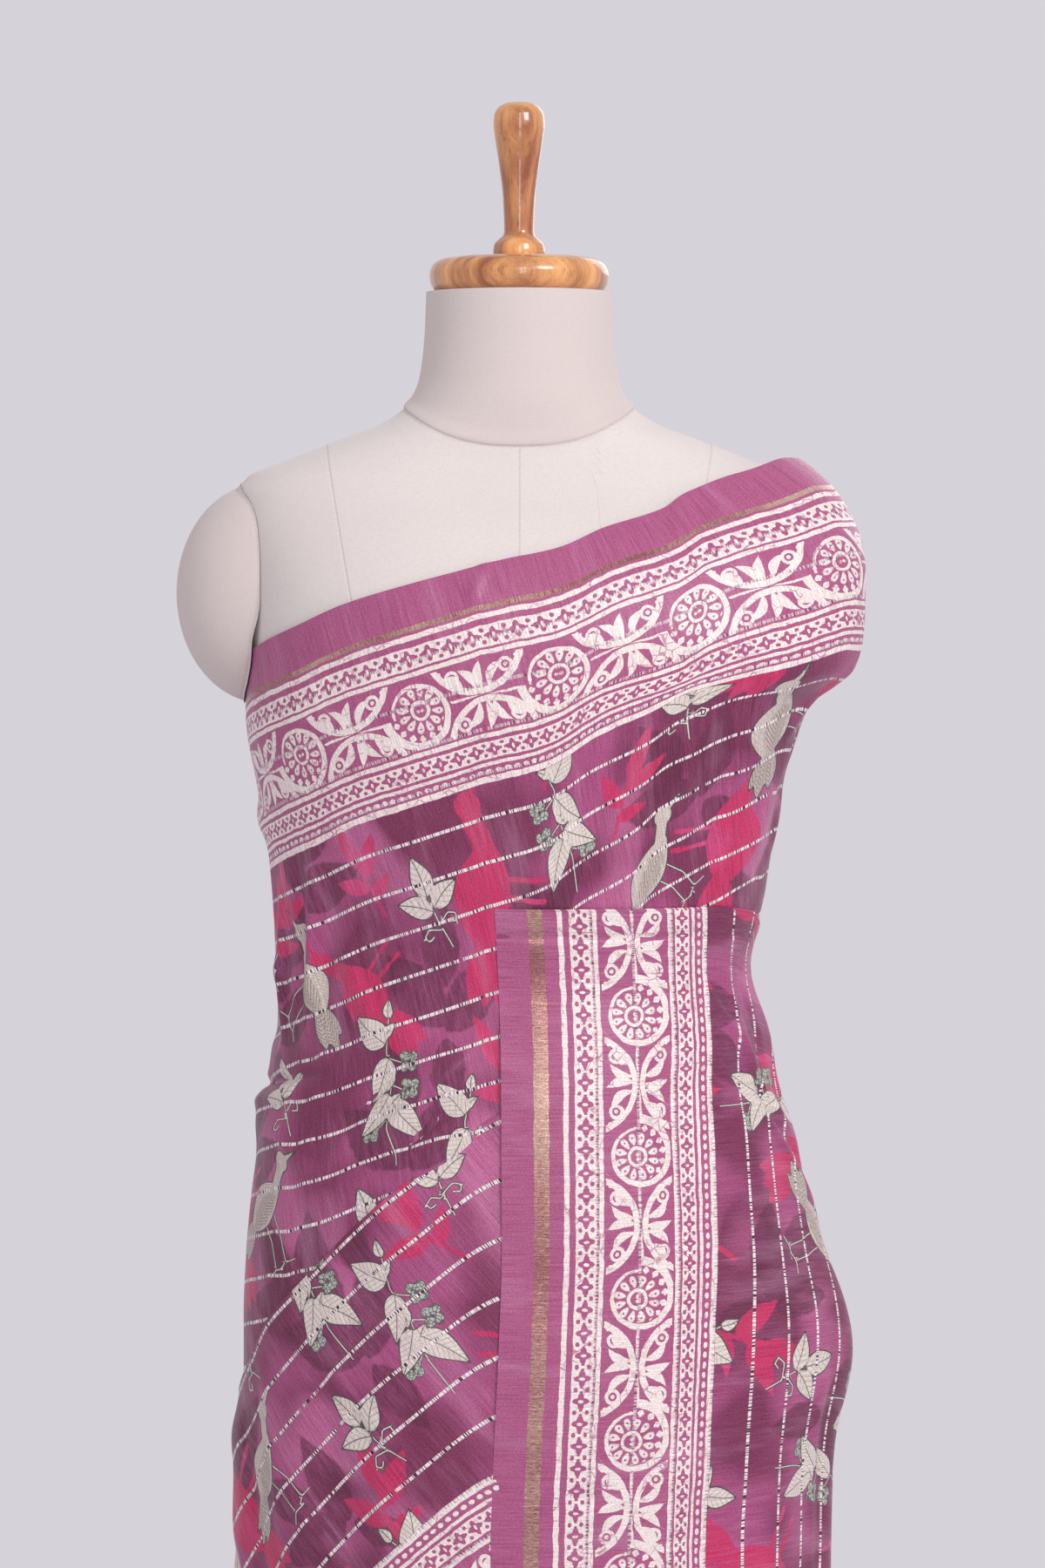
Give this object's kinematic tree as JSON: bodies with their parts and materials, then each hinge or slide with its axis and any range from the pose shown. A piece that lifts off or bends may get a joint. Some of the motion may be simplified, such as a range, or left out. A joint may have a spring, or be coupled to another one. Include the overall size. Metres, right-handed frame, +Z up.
{
  "type": "saree on dress form",
  "caption": "Printed silk saree draped over one shoulder of a limbless padded dress form on a pole stand, its loose end brought round to the front as an upright border.",
  "frame": {"origin": "middle of the underside of the stand's base, on the floor", "axes": "+Z up, +X to the viewer's right when the garment's front faces the viewer, +Y to the back"},
  "size_m": [0.4732, 0.3839, 1.554],
  "materials": {
    "saree_silk": "satin",
    "form_cotton": "matte",
    "varnished_wood": "gloss",
    "stand_metal": "satin"
  },
  "bodies": {
    "root": {"saree_skirt": "saree_silk", "saree_front_pleats": "saree_silk", "saree_back_wrap": "saree_silk", "saree_chest_drape": "saree_silk", "saree_hip_drape": "saree_silk", "saree_back_fall": "saree_silk", "saree_front_panel": "saree_silk", "form_torso": "form_cotton", "form_arm_cap_right": "form_cotton", "form_arm_cap_left": "form_cotton", "neck_block": "varnished_wood", "block_handle": "varnished_wood", "stand_pole": "stand_metal", "stand_base": "stand_metal"}
  },
  "joints": []
}
